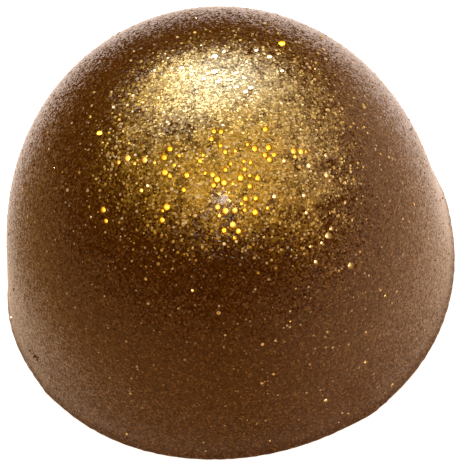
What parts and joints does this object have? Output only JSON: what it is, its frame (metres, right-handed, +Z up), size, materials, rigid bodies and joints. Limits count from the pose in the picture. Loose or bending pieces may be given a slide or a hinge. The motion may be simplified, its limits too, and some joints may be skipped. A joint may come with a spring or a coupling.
{
  "type": "chocolate praline",
  "caption": "Round domed chocolate praline with a flat underside, a thin lip round its foot and gold glitter flakes brushed onto its crown.",
  "frame": {"origin": "middle of the flat underside that the praline stands on", "axes": "+Z up through the crown; the side with most of the glitter faces -Y"},
  "size_m": [0.0291, 0.029, 0.0196],
  "materials": {
    "chocolate": "satin moulded dark chocolate, with a fine gold lustre over its crown",
    "gold_glitter": "bright edible gold flakes and dust"
  },
  "bodies": {
    "root": {"praline": "chocolate"}
  },
  "joints": []
}
